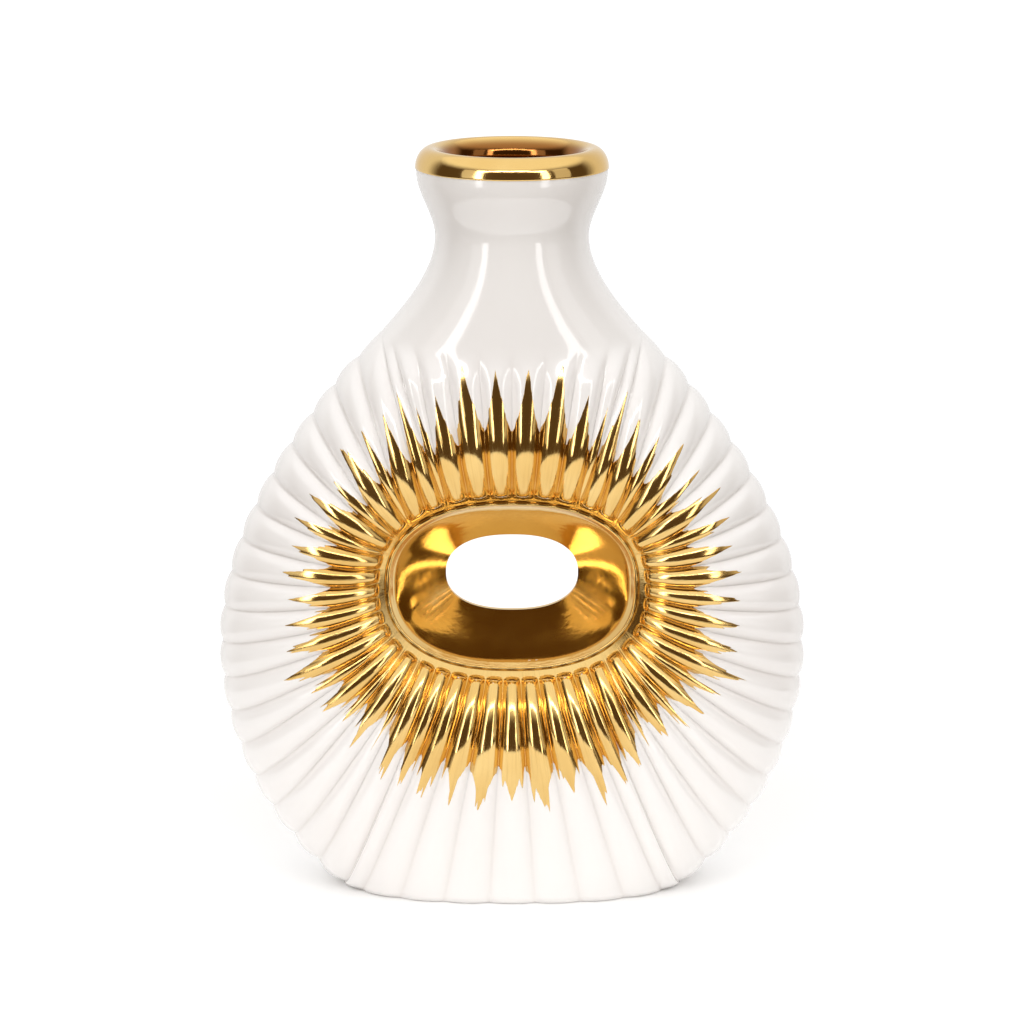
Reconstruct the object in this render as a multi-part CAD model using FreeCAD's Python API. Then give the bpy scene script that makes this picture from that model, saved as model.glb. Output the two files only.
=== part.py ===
"""A flat, fluted porcelain vase with an oval eye through its middle and gold lustre round the eye.

Millimetres, +Z up. The origin is the bottom centre of the foot, and the vase faces -Y.
Everything that curves is worked out by formula from the sizes below.
"""
import FreeCAD, Part
import math
import os

Vector = FreeCAD.Vector

# ---- Outline, measured in the valleys between the flutes ----
foot_half_width = 63.5
foot_half_depth = 30.0
belly_half_width = 108.6
belly_height = 93.0
shoulder_half_width = 50.2
shoulder_height = 209.4
shoulder_slope = -0.90
collar_height = 212.0
body_half_depth = 38.0
fullest_height = 110.0
shoulder_fall_start = 2.4
shoulder_fall_end = 1.5
foot_edge_round = 3.0
body_squareness = 2.5
round_squareness = 2.0
wall = 3.8

# ---- Mouth ----
height = 280.0
mouth_radius = 24.1
neck_wall = 4.2
lip_width = 11.4
lip_overhang = 1.2
lip_crown_height = 7.5
lip_seat_drop = 14.0
lip_seat_slope = 0.30
waist_drop = 32.6
bore_length = 42.0

# ---- The eye ----
eye_height = 120.2
eye_half_width = 46.6
eye_half_height = 31.8
throat_half_width = 24.7
throat_half_height = 14.5
eye_squareness = 2.35
eye_face = 23.0
dish_reach = 30.0
bead_rise = 0.9
bead_spread = 0.93
step_depth = 2.6
dish_spread = 0.88
dish_hollow = 0.8
throat_spread = 0.38
throat_half_length = 1.2
eye_wall_thickness = 3.6
eye_wall_widest = 0.90
eye_wall_narrowest = 0.45

# ---- Flutes ----
flutes_at_foot = 9
flutes_up_a_side = 18
flutes_at_collar = 10
wedge_share = 0.10
bead_crowding = 0.12
land_width = 2.4
flute_foot_length = 2.6
ridge_at_eye = 2.3
ridge_on_face = 3.0
ridge_at_edge = 1.3
ridge_edge_start = 0.35
ridge_per_width = 0.36
ridge_roundness = 2.3
fade_start_height = 196.0
level_margin = 7.0

# ---- Gold lustre and the floor of the vase ----
film = 0.2
film_clearance = 0.02
film_reach_up = 50.0
film_reach_side = 38.0
film_reach_down = 46.0
film_reach_scatter = 4.5
film_scatter_turn = 2.4
film_solid_share = 0.58
film_edge_share = 0.93
film_tip_share = 0.06
film_tip_fullness = 0.6
film_wedge_fade = 0.85
film_start = 0.006
floor_bottom = 2.5
floor_thickness = 4.0

# ---- How finely the formulas are sampled ----
across_flute = 7
along_flute = 23
along_film = 15
crowd_at_eye = 1.6
rows_past_end = 3
round_quarter = 13
round_bead = 4
along_dish = 8
behind_dish = 3
up_neck = 5
outline_steps = 400
tangent_step = 0.004

waist_radius = mouth_radius + neck_wall
waist_height = height - waist_drop
lip_outer_radius = mouth_radius + lip_width
lip_seat_radius = lip_outer_radius - lip_overhang
lip_seat_height = height - lip_seat_drop
bore_bottom_height = height - bore_length
film_spread = film / (eye_half_width - throat_half_width)
flute_count = flutes_at_foot + 2 * flutes_up_a_side + flutes_at_collar
foot_corner = flutes_at_foot / 2
collar_corner = foot_corner + flutes_up_a_side


# ---------------------------------------------------------------- formulas
def ease(start, end, value):
    """0 before start, 1 after end, and a smooth S between them."""
    share = min(1.0, max(0.0, (value - start) / (end - start)))
    return share * share * (3.0 - 2.0 * share)


def mix(a, b, share):
    return a + (b - a) * share


def flowing(z, low, high):
    """A cubic between two stations, each given as (height, radius, slope)."""
    span = high[0] - low[0]
    u = (z - low[0]) / span
    ends = (1 + 2 * u) * (1 - u) ** 2 * low[1] + u * u * (3 - 2 * u) * high[1]
    slopes = u * (1 - u) ** 2 * low[2] + u * u * (u - 1) * high[2]
    return ends + span * slopes


def half_width(z):
    """Half of the outline's width at a height."""
    if z <= belly_height:
        reach = math.sqrt(1 - (foot_half_width / belly_half_width) ** 2)
        drop = reach * (belly_height - z) / belly_height
        return belly_half_width * math.sqrt(1 - drop * drop)
    shoulder = (shoulder_height, shoulder_half_width, shoulder_slope)
    waist = (waist_height, waist_radius, 0.0)
    if z <= shoulder_height:
        return flowing(z, (belly_height, belly_half_width, 0.0), shoulder)
    if z <= waist_height:
        return flowing(z, shoulder, waist)
    return flowing(z, waist, (lip_seat_height, lip_seat_radius, lip_seat_slope))


def half_depth(z):
    """Half of the thickness at a height, as if there were no eye."""
    if z >= waist_height:
        return half_width(z)
    if z >= fullest_height:
        share = (z - fullest_height) / (waist_height - fullest_height)
        return mix(waist_radius, body_half_depth, (1 - share**shoulder_fall_start) ** shoulder_fall_end)
    lift = math.sin(math.pi / 2 * z / fullest_height)
    edge = max(0.0, 1 - z / foot_edge_round)
    depth = mix(foot_half_depth + foot_edge_round / 2, body_half_depth, lift)
    return depth - foot_edge_round / 2 * edge * edge


def squareness(z):
    """2 is an ellipse in plan; the belly is a little squarer than that."""
    rounding = ease(eye_height + eye_half_height, collar_height, z)
    return mix(body_squareness, round_squareness, rounding)


def face_depth(x, z):
    """How far the plain face stands in front of the middle plane."""
    share = min(1.0, abs(x) / half_width(z))
    return half_depth(z) * math.sqrt(max(0.0, 1 - share ** squareness(z)))


def evenly_along(curve):
    """The same curve, as a function of the share of its length and not of its own share."""
    lengths = [0.0]
    last = curve(0.0)
    for i in range(1, outline_steps + 1):
        here = curve(i / outline_steps)
        lengths.append(lengths[-1] + (here - last).Length)
        last = here

    def at(share):
        wanted = min(1.0, max(0.0, share)) * lengths[-1]
        low, high = 0, outline_steps
        while high - low > 1:
            middle = (low + high) // 2
            if lengths[middle] <= wanted:
                low = middle
            else:
                high = middle
        inside = (wanted - lengths[low]) / (lengths[high] - lengths[low])
        return curve((low + inside) / outline_steps)

    return at


def plan_oval(z):
    """The front half of the outline in plan at a height, from -X round to +X."""

    def curve(share):
        angle = math.pi * (share - 0.5)
        power = 2 / squareness(z)
        x = math.copysign(half_width(z) * abs(math.sin(angle)) ** power, angle)
        return Vector(x, -half_depth(z) * abs(math.cos(angle)), z)

    return curve


def side_outline(share):
    z = collar_height * share
    return Vector(half_width(z), 0, z)


along_foot = evenly_along(plan_oval(0.0))
along_side = evenly_along(side_outline)
along_collar = evenly_along(plan_oval(collar_height))


def outer_end(place):
    """Where a line across the face ends. place counts flutes from the bottom centre."""
    if place > flute_count / 2:
        mirrored = outer_end(flute_count - place)
        return Vector(-mirrored.x, mirrored.y, mirrored.z)
    if place < 0:
        mirrored = outer_end(-place)
        return Vector(-mirrored.x, mirrored.y, mirrored.z)
    if place <= foot_corner:
        return along_foot(0.5 + place / flutes_at_foot)
    if place <= collar_corner:
        return along_side((place - foot_corner) / flutes_up_a_side)
    return along_collar(1 - (place - collar_corner) / flutes_at_collar)


def is_wedge(flute):
    """Next to the corners every second flute tapers out before it reaches the eye."""
    flute %= flute_count
    if flute > flute_count / 2:
        flute = flute_count - flute
    if flute < foot_corner:
        return False
    if flute < collar_corner:
        from_end = flute - math.ceil(foot_corner)
        return min(from_end, flutes_up_a_side - 1 - from_end) in (1, 3, 5)
    from_end = flute - math.ceil(collar_corner)
    return min(from_end, flutes_at_collar - 1 - from_end) == 1


def eye_shares():
    """How much of the eye's rim each flute takes, added up from the bottom centre."""
    total = 0.0
    sums = [0.0]
    for flute in range(flute_count):
        total += wedge_share if is_wedge(flute) else 1.0
        sums.append(total)
    return sums


rim_sums = eye_shares()


def eye_angle(place):
    """The angle round the eye, from the bottom, at which a line across the face starts."""
    place = place + 0.5
    turns = math.floor(place / flute_count)
    place -= turns * flute_count
    flute = min(int(place), flute_count - 1)
    total = mix(rim_sums[flute], rim_sums[flute + 1], place - flute) - 0.5
    angle = 2 * math.pi * total / rim_sums[-1]
    return angle - bead_crowding * math.sin(angle) + 2 * math.pi * turns


def on_eye(angle, half_wide, half_high, y):
    """A point of an oval round the eye, a little squarer than an ellipse."""
    across = math.sin(angle)
    down = math.cos(angle)
    size = (abs(across) ** eye_squareness + abs(down) ** eye_squareness) ** (-1 / eye_squareness)
    return Vector(half_wide * across * size, y, eye_height - half_high * down * size)


def plain_point(place, along):
    """A point of the unfluted front face. along is 0 at the eye's rim and 1 at the outline."""
    inner = on_eye(eye_angle(place), eye_half_width, eye_half_height, 0)
    outer = outer_end(place)
    ahead = 1 - (1 - along) ** 2
    x = inner.x * (1 - ahead) + outer.x * ahead
    z = inner.z * (1 - ahead) + outer.z * ahead
    distance = math.hypot(x - inner.x, z - inner.z)
    dip = max(0.0, 1 - distance / dish_reach) ** 2
    depth = mix(face_depth(x, z), eye_face, dip)
    if along > 1:
        depth = -depth
    return Vector(x, -depth, z)


def on_side(place):
    """Whether a line ends on the side outline, where the two halves of the vase meet."""
    turned = abs((place + flute_count / 2) % flute_count - flute_count / 2)
    return foot_corner < turned < collar_corner


def outward(place, along):
    """The direction out of the plain face."""
    step = tangent_step
    side = on_side(place)
    above = along + step if side or along + step <= 1 else 1.0
    below = max(0.0, along - step)
    down_line = plain_point(place, above) - plain_point(place, below)
    across = plain_point(place + step, along) - plain_point(place - step, along)
    normal = down_line.cross(across)
    if side and along >= 1:
        normal.y = 0
    level = plain_point(place, along).z
    normal.z *= ease(0, level_margin, level) * ease(0, level_margin, collar_height - level)
    normal.normalize()
    return normal


def ridge_height(place, along):
    """How far a flute's crest stands over its valleys."""
    flute = math.floor(place + 0.5)
    ahead = 1 - (1 - along) ** 2
    low = plain_point(flute - 0.5, along)
    high = plain_point(flute + 0.5, along)
    width = math.hypot(high.x - low.x, high.z - low.z)
    middle = plain_point(flute, along)
    distance = ahead * (outer_end(flute) - plain_point(flute, 0)).Length
    height_here = mix(ridge_at_eye, ridge_on_face, ease(0, dish_reach, distance))
    height_here = mix(height_here, ridge_at_edge, ease(ridge_edge_start, 1, along))
    height_here = min(height_here, ridge_per_width * width)
    height_here *= ease(land_width, land_width + flute_foot_length, distance)
    return height_here * (1 - ease(fade_start_height, collar_height, middle.z))


def outer_point(place, along, raised=0.0):
    """A point on the fluted outside, or raised off it by the thickness of the gold."""
    flute = math.floor(place + 0.5)
    aside = min(1.0, abs(place - flute) * 2)
    crest = ridge_height(flute, along) * (1 - aside**ridge_roundness)
    return plain_point(place, along) + outward(place, along) * (crest + raised)


def inner_point(place, along):
    """A point on the smooth inside, one wall behind the valleys."""
    direction = outward(place, along)
    straight = (1 - along) ** 4 if along < 1 else 0.0
    direction = direction * (1 - straight) + Vector(0, -1, 0) * straight
    if corner_line(place) and along >= 1:
        direction = Vector(math.copysign(1, outer_end(place).x), 0, 0)
    direction.normalize()
    return plain_point(place, along) - direction * wall


def corner_line(place):
    """The four lines that end where the side outline meets the foot or the collar."""
    turned = abs((place + flute_count / 2) % flute_count - flute_count / 2)
    return min(abs(turned - foot_corner), abs(turned - collar_corner)) < 1e-6


# ---------------------------------------------------------------- surfaces
def poles_through(points, past=0):
    """The poles and knots of a cubic spline through evenly counted points, less those past its end."""
    curve = Part.BSplineCurve()
    last = len(points) - 1 - past
    curve.interpolate(Points=points, Parameters=[i / last for i in range(len(points))])
    if past:
        curve.segment(0, 1)
    return curve


def skin(rows, past=0):
    """One smooth face through a grid of points, less the rows past its end."""
    across = [poles_through(row) for row in rows]
    columns = list(zip(*[curve.getPoles() for curve in across]))
    along = [poles_through(list(column), past) for column in columns]
    poles = [curve.getPoles() for curve in along]
    surface = Part.BSplineSurface()
    surface.buildFromPolesMultsKnots(
        poles,
        across[0].getMultiplicities(),
        along[0].getMultiplicities(),
        across[0].getKnots(),
        along[0].getKnots(),
        False,
        False,
        3,
        3,
    )
    return surface.toShape()


def along_steps(count):
    """Steps along a flute, close together at the eye where the flutes begin."""
    return [(i / (count - 1)) ** crowd_at_eye for i in range(count)]


def grid(point, first, last, count, alongs):
    """Rows of points: each row is at one of alongs, and runs from first to last."""
    places = [mix(first, last, i / (count - 1)) for i in range(count)]
    return [[point(place, along) for place in places] for along in alongs]


def carried_past(rows):
    """The rows and a few more that fold back past the last, so the face arrives upright at its end."""
    folded = []
    for i in range(rows_past_end):
        pairs = zip(rows[-2 - i], rows[-1])
        folded.append([Vector(point.x, 2 * end.y - point.y, point.z) for point, end in pairs])
    return rows + folded


def bridge(row_a, row_b, past=0):
    """A face straight across from one row of points to another."""
    edge_a = poles_through(row_a, past).toShape()
    edge_b = poles_through(row_b, past).toShape()
    return Part.makeRuledSurface(edge_a, edge_b)


def closed(faces):
    """One solid from faces that meet edge to edge."""
    shell = Part.makeShell(faces)
    shell.sewShape()
    solid = Part.Solid(shell)
    if solid.Volume < 0:
        solid.reverse()
    return solid


def block(outside, inside):
    """A solid between two grids of points, with straight sides."""
    faces = [skin(outside), skin(inside)]
    faces.append(bridge(outside[0], inside[0]))
    faces.append(bridge(outside[-1], inside[-1]))
    faces.append(side_bridge(outside, inside, 0))
    faces.append(side_bridge(outside, inside, -1))
    return closed(faces)


def flipped(shape):
    """The same piece on the back of the vase."""
    return shape.mirror(Vector(0, 0, 0), Vector(0, 1, 0))


# ---------------------------------------------------------------- pieces
def side_bridge(outside, inside, column, past=0):
    """The cut face along one line outward from the eye."""
    return bridge([row[column] for row in outside], [row[column] for row in inside], past)


def flat_end(outer_rows, inner_rows):
    """The flat face a run of flutes ends in, on the table, the middle plane or the collar."""
    edges = [poles_through(row).toShape() for row in outer_rows + inner_rows]
    edges.append(Part.makeLine(outer_rows[0][0], inner_rows[0][0]))
    edges.append(Part.makeLine(outer_rows[-1][-1], inner_rows[-1][-1]))
    return Part.Face(Part.Wire(Part.__sortEdges__(edges)))


def make_panel(first, last):
    """A run of flutes of the body's front half, from the eye's rim to the outline."""
    alongs = along_steps(along_flute)
    faces = []
    outer_ends = []
    inner_ends = []
    for flute in range(first, last + 1):
        outside = grid(outer_point, flute - 0.5, flute + 0.5, across_flute, alongs)
        inside = grid(inner_point, flute - 0.5, flute + 0.5, across_flute, alongs)
        outer_ends.append(outside[-1])
        inner_ends.append(inside[-1])
        outside = carried_past(outside)
        inside = carried_past(inside)
        faces.append(skin(outside, rows_past_end))
        faces.append(skin(inside, rows_past_end))
        faces.append(bridge(outside[0], inside[0]))
        if flute == first:
            faces.append(side_bridge(outside, inside, 0, rows_past_end))
        if flute == last:
            faces.append(side_bridge(outside, inside, -1, rows_past_end))
    faces.append(flat_end(outer_ends, inner_ends))
    return closed(faces)


def make_panels():
    """The front half of the body in four panels, named by where they are."""
    first_side = math.ceil(foot_corner)
    first_collar = math.ceil(collar_corner)
    last_collar = flute_count - first_collar
    return {
        "foot": make_panel(1 - first_side, first_side - 1),
        "right": make_panel(first_side, first_collar - 1),
        "shoulder": make_panel(first_collar, last_collar),
        "left": make_panel(last_collar + 1, flute_count - first_side),
    }


def film_reach(flute):
    """How far a flute's gold runs out from the eye, a little different on every flute."""
    angle = eye_angle(flute)
    up = max(0.0, -math.cos(angle))
    down = max(0.0, math.cos(angle))
    reach = mix(film_reach_side, film_reach_up, up * up)
    reach = mix(reach, film_reach_down, down * down)
    if is_wedge(flute):
        reach *= film_wedge_fade
    return reach + film_reach_scatter * math.sin(film_scatter_turn * flute * flute)


def make_gold_rays():
    """The gold on the flutes: one thin pointed skin on each, broad at the eye."""
    rays = []
    for flute in range(flute_count):
        line = (outer_end(flute) - plain_point(flute, 0)).Length
        reach = 1 - math.sqrt(1 - film_reach(flute) / line)
        outside = []
        inside = []
        for step in along_steps(along_film):
            along = reach * mix(film_start, 1, step)
            taper = ease(1, film_solid_share, along / reach) ** film_tip_fullness
            half = 0.5 * film_edge_share * max(film_tip_share, taper)
            places = [flute + mix(-half, half, j / (across_flute - 1)) for j in range(across_flute)]
            outside.append([outer_point(place, along, film_clearance + film) for place in places])
            inside.append([outer_point(place, along, film_clearance) for place in places])
        rays.append(block(outside, inside))
    return Part.makeCompound(rays)


def ring(profile):
    """A closed ring round the eye. profile is a list of runs, each a list of (spread, y) points.

    spread is 0 at the throat's oval and 1 at the rim's oval.
    """
    faces = []
    for quarter in range(4):
        first = math.pi / 2 * quarter
        angles = [first + math.pi / 2 * i / (round_quarter - 1) for i in range(round_quarter)]
        for run in profile:
            rows = []
            for spread, y in run:
                wide = mix(throat_half_width, eye_half_width, spread)
                high = mix(throat_half_height, eye_half_height, spread)
                rows.append([on_eye(angle, wide, high, y) for angle in angles])
            faces.append(skin(rows) if len(rows) > 2 else bridge(rows[0], rows[1]))
    return closed(faces)


def dish_y(spread):
    """How far back the hollow dish is, from its step to the throat."""
    bowl = (1 - min(spread, dish_spread) / dish_spread) ** dish_hollow
    return mix(step_depth - eye_face, -throat_half_length, bowl)


def dish_runs(lift, inner_spread):
    """The front of the eye from its rim to the throat: bead, step and hollow dish."""
    bead = []
    for i in range(round_bead + 1):
        turn = math.pi * i / round_bead
        spread = mix(1.0, bead_spread, (1 - math.cos(turn)) / 2)
        bead.append((spread, -eye_face - lift - bead_rise * math.sin(turn)))
    spreads = [mix(dish_spread, inner_spread, i / along_dish) for i in range(along_dish + 1)]
    dish = [(spread, dish_y(spread) - lift) for spread in spreads]
    return [bead, [bead[-1], dish[0]], dish]


def backwards(runs):
    return [run[::-1] for run in runs[::-1]]


def make_eye_wall():
    """The front half of the oval funnel through the body, which the panels close on."""
    outside = dish_runs(-film, film_spread)
    outside.append([outside[-1][-1], (film_spread, 0.0)])
    behind = [(throat_spread, 0.0)]
    for i in range(behind_dish + 1):
        spread = mix(eye_wall_narrowest, eye_wall_widest, i / behind_dish)
        behind.append((spread, dish_y(spread) + eye_wall_thickness * math.sqrt(2)))
    behind.append((1.0, wall - eye_face))
    throat_end = [outside[-1][-1], behind[0]]
    rim_end = [behind[-1], outside[0][0]]
    return ring(outside + [throat_end, behind, rim_end])


def make_gold_eye():
    """The gold that lines the front half of the eye, as far as the middle of its throat."""
    outside = dish_runs(0.0, 0.0)
    outside.append([outside[-1][-1], (0.0, 0.0)])
    inside = dish_runs(-film, film_spread)
    inside.append([inside[-1][-1], (film_spread, 0.0)])
    throat_end = [outside[-1][-1], inside[-1][-1]]
    rim_end = [inside[0][0], outside[0][0]]
    return ring(outside + [throat_end] + backwards(inside) + [rim_end])


def plan_wire(z, inset):
    """The whole outline in plan at a height, set in by a wall."""
    front = plan_oval(z)
    shrink_x = (half_width(z) - inset) / half_width(z)
    shrink_y = (half_depth(z) - inset) / half_depth(z)
    points = []
    for i in range(4 * round_quarter):
        share = i / (2 * round_quarter)
        point = front(share if share <= 1 else 2 - share)
        y = point.y if share <= 1 else -point.y
        points.append(Vector(point.x * shrink_x, y * shrink_y, z))
    return points


def loft_between(heights, inset):
    """A solid through plan outlines at several heights."""
    wires = []
    for z in heights:
        curve = Part.BSplineCurve()
        curve.interpolate(Points=plan_wire(z, inset), PeriodicFlag=True)
        wires.append(Part.Wire([curve.toShape()]))
    return Part.makeLoft(wires, True, False)


def heights_between(low, high):
    return [mix(low, high, i / (up_neck - 1)) for i in range(up_neck)]


def make_collar():
    """The smooth foot of the neck, oval where it stands on the shoulder, one wall thick."""
    heights = heights_between(collar_height, bore_bottom_height)
    outside = loft_between(heights, 0.0)
    rise = bore_bottom_height - collar_height
    bore = Part.makeCylinder(mouth_radius, rise, Vector(0, 0, collar_height))
    return outside.cut(loft_between(heights, wall)).cut(bore)


def make_neck():
    """The round neck above the collar, waisted outside and bored straight to the mouth's size."""
    outside = loft_between(heights_between(bore_bottom_height, lip_seat_height), 0.0)
    rise = lip_seat_height - bore_bottom_height
    bore = Part.makeCylinder(mouth_radius, rise, Vector(0, 0, bore_bottom_height))
    return outside.cut(bore)


def crown_points(skin_depth):
    """Points over the crown, from the outer equator to the inner one."""
    centre_radius = (lip_outer_radius + mouth_radius) / 2
    equator = height - lip_crown_height
    half = (lip_outer_radius - mouth_radius) / 2 - skin_depth
    points = []
    for i in range(round_quarter):
        turn = math.pi * i / (round_quarter - 1)
        rise = (lip_crown_height - skin_depth) * math.sin(turn)
        points.append(Vector(centre_radius + half * math.cos(turn), 0, equator + rise))
    return points


def revolved(edges):
    face = Part.Face(Part.Wire(edges))
    return face.revolve(Vector(0, 0, 0), Vector(0, 0, 1), 360)


def rising_edge(skin_depth):
    """The outside of the lip from its seat on the neck up to the outer equator."""
    equator = height - lip_crown_height
    top_radius = lip_outer_radius - skin_depth
    rise = (equator - lip_seat_height) / 3
    curve = Part.BezierCurve()
    curve.setPoles([
        Vector(lip_seat_radius, 0, lip_seat_height),
        Vector(lip_seat_radius + lip_seat_slope * rise, 0, lip_seat_height + rise),
        Vector(top_radius, 0, equator - rise),
        Vector(top_radius, 0, equator),
    ])
    return curve.toShape()


def make_lip():
    """The fat rolled lip, seated on top of the neck."""
    crown = crown_points(film)
    seat_inner = Vector(mouth_radius + film, 0, lip_seat_height)
    seat_outer = Vector(lip_seat_radius, 0, lip_seat_height)
    edges = [
        rising_edge(film),
        poles_through(crown).toShape(),
        Part.makeLine(crown[-1], seat_inner),
        Part.makeLine(seat_inner, seat_outer),
    ]
    return revolved(edges)


def make_gold_lip():
    """The gold over the crown of the lip and down inside the mouth to the neck."""
    outside = crown_points(0.0)
    inside = crown_points(film)
    foot_outside = Vector(mouth_radius, 0, lip_seat_height)
    foot_inside = Vector(mouth_radius + film, 0, lip_seat_height)
    edges = [
        poles_through(outside).toShape(),
        Part.makeLine(outside[-1], foot_outside),
        Part.makeLine(foot_outside, foot_inside),
        Part.makeLine(foot_inside, inside[-1]),
        poles_through(inside).toShape(),
        Part.makeLine(inside[0], outside[0]),
    ]
    return revolved(edges)


def make_floor(panels):
    """The flat bottom, let in between the walls a little above the table."""
    slab = loft_between([floor_bottom, floor_bottom + floor_thickness], wall / 2)
    for panel in panels:
        slab = slab.cut(panel).cut(flipped(panel))
    return max(slab.Solids, key=lambda solid: solid.Volume)


def save(name, shape):
    print(name, "solids", len(shape.Solids), "valid", shape.isValid(), "volume", round(shape.Volume))
    shape.exportStep("parts/" + name + ".step")


def save_both(name, shape):
    """The piece on the front and its twin on the back."""
    save("front_" + name, shape)
    save("back_" + name, flipped(shape))


os.makedirs("parts", exist_ok=True)
panels = make_panels()
for panel_name, panel_shape in panels.items():
    save_both(panel_name + "_panel", panel_shape)
save_both("eye_wall", make_eye_wall())
save_both("gold_eye", make_gold_eye())
save_both("gold_rays", make_gold_rays())
save("collar", make_collar())
save("neck", make_neck())
save("lip", make_lip())
save("gold_lip", make_gold_lip())
save("floor", make_floor(panels.values()))
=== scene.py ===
# %% [markdown]
# # A fluted porcelain vase with a gilded eye
#
# The real vase is cast from white porcelain slip in a two-part plaster mould, glazed, fired, and then
# painted with gold lustre round the oval eye and over the lip before a last, cooler firing.
# In Blender the whole outside can be one mesh whose points come from a few formulas, so that the light
# runs over the flutes, the shoulder and the neck without a seam. The gold is a second, very thin skin.
#
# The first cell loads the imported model. It gives the places and sizes that every piece has to keep.

# %% Load the frame
import bpy
import math
import numpy as np
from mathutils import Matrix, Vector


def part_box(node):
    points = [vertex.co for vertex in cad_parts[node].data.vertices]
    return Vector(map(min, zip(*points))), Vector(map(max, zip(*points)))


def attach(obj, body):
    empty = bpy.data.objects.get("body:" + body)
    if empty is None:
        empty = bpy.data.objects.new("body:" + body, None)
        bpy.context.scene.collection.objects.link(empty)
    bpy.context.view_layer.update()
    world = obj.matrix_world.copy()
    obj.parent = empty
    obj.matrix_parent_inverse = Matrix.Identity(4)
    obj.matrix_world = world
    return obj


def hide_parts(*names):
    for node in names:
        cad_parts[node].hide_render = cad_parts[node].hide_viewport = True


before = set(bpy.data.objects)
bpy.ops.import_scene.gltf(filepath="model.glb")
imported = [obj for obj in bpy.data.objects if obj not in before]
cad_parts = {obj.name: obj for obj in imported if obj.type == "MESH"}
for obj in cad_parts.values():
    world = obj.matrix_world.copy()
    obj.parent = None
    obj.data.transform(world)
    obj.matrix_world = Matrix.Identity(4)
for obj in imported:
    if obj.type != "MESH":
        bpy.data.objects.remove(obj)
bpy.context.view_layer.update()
print("nodes", sorted(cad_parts))

# %% [markdown]
# ## The sizes of the vase
#
# A potter thinks of this shape as an outline, a thickness, an eye and a number of flutes.
# Each has a named size here, in metres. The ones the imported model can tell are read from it, and
# the rest are the potter's own: the widest place of the belly, the waist of the neck and so on.

# %% Sizes
MM = 0.001
lip_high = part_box("gold_lip")[1]
neck_low, neck_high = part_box("neck")
collar_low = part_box("collar")[0]
height = lip_high.z
lip_outer_radius = lip_high.x
lip_seat_height = neck_high.z
collar_height = collar_low.z
bore_bottom_height = neck_low.z

foot_half_width = 63.5 * MM
foot_half_depth = 30.0 * MM
belly_half_width = 108.6 * MM
belly_height = 93.0 * MM
shoulder_half_width = 50.2 * MM
shoulder_height = 209.4 * MM
shoulder_slope = -0.90
waist_radius = 28.3 * MM
waist_height = 247.4 * MM
body_half_depth = 38.0 * MM
fullest_height = 110.0 * MM
shoulder_fall_start = 2.4
shoulder_fall_end = 1.5
body_squareness = 2.5
round_squareness = 2.0
foot_edge_round = 3.0 * MM
lip_seat_radius = 34.3 * MM
lip_seat_slope = 0.30
lip_crown_height = 7.5 * MM
mouth_radius = 24.1 * MM
wall = 3.8 * MM
print("mouth", 2 * mouth_radius, "lip", 2 * lip_outer_radius, "height", height)

# %% Sizes of the eye and the flutes
eye_height = 120.2 * MM
eye_half_width = 46.6 * MM
eye_half_height = 31.8 * MM
throat_half_width = 24.7 * MM
throat_half_height = 14.5 * MM
eye_squareness = 2.35
eye_face = 23.0 * MM
dish_reach = 30.0 * MM
flutes_at_foot = 9
flutes_up_a_side = 18
flutes_at_collar = 10
flute_count = flutes_at_foot + 2 * flutes_up_a_side + flutes_at_collar
foot_corner = flutes_at_foot / 2
collar_corner = foot_corner + flutes_up_a_side
wedge_share = 0.10
bead_crowding = 0.12
land_width = 2.4 * MM
flute_foot_length = 2.6 * MM
ridge_at_eye = 2.3 * MM
ridge_on_face = 3.0 * MM
ridge_at_edge = 1.3 * MM
ridge_edge_start = 0.35
ridge_per_width = 0.36
ridge_roundness = 2.3
fade_start_height = 196.0 * MM
level_margin = 7.0 * MM
print(flute_count, "flutes round the eye")

# %% [markdown]
# ## The outline
#
# Half of the width and half of the depth are each a function of the height. The belly is a piece of an
# ellipse, and the shoulder, the waist and the flare under the lip are cubics that share their slopes
# where they meet, as a thrown or turned profile does. numpy works them out for many heights at once.

# %% Outline formulas
def ease(start, end, value):
    share = np.clip((value - start) / (end - start), 0, 1)
    return share * share * (3 - 2 * share)


def mix(a, b, share):
    return a + (b - a) * share


def flowing(z, low, high):
    span = high[0] - low[0]
    u = (z - low[0]) / span
    ends = (1 + 2 * u) * (1 - u) ** 2 * low[1] + u * u * (3 - 2 * u) * high[1]
    slopes = u * (1 - u) ** 2 * low[2] + u * u * (u - 1) * high[2]
    return ends + span * slopes


belly = (belly_height, belly_half_width, 0.0)
shoulder = (shoulder_height, shoulder_half_width, shoulder_slope)
waist = (waist_height, waist_radius, 0.0)
lip_seat = (lip_seat_height, lip_seat_radius, lip_seat_slope)


def half_width(z):
    reach = math.sqrt(1 - (foot_half_width / belly_half_width) ** 2)
    drop = np.clip(reach * (belly_height - z) / belly_height, 0, 1)
    low = belly_half_width * np.sqrt(1 - drop * drop)
    stages = [z <= belly_height, z <= shoulder_height, z <= waist_height]
    curves = [low, flowing(z, belly, shoulder), flowing(z, shoulder, waist)]
    return np.select(stages, curves, flowing(z, waist, lip_seat))


def half_depth(z):
    share = np.clip((z - fullest_height) / (waist_height - fullest_height), 0, 1)
    upper = mix(waist_radius, body_half_depth, (1 - share**shoulder_fall_start) ** shoulder_fall_end)
    lift = np.sin(np.pi / 2 * z / fullest_height)
    edge = np.clip(1 - z / foot_edge_round, 0, None)
    lower = mix(foot_half_depth + foot_edge_round / 2, body_half_depth, lift)
    lower = lower - foot_edge_round / 2 * edge * edge
    return np.select([z >= waist_height, z >= fullest_height], [half_width(z), upper], lower)


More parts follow.
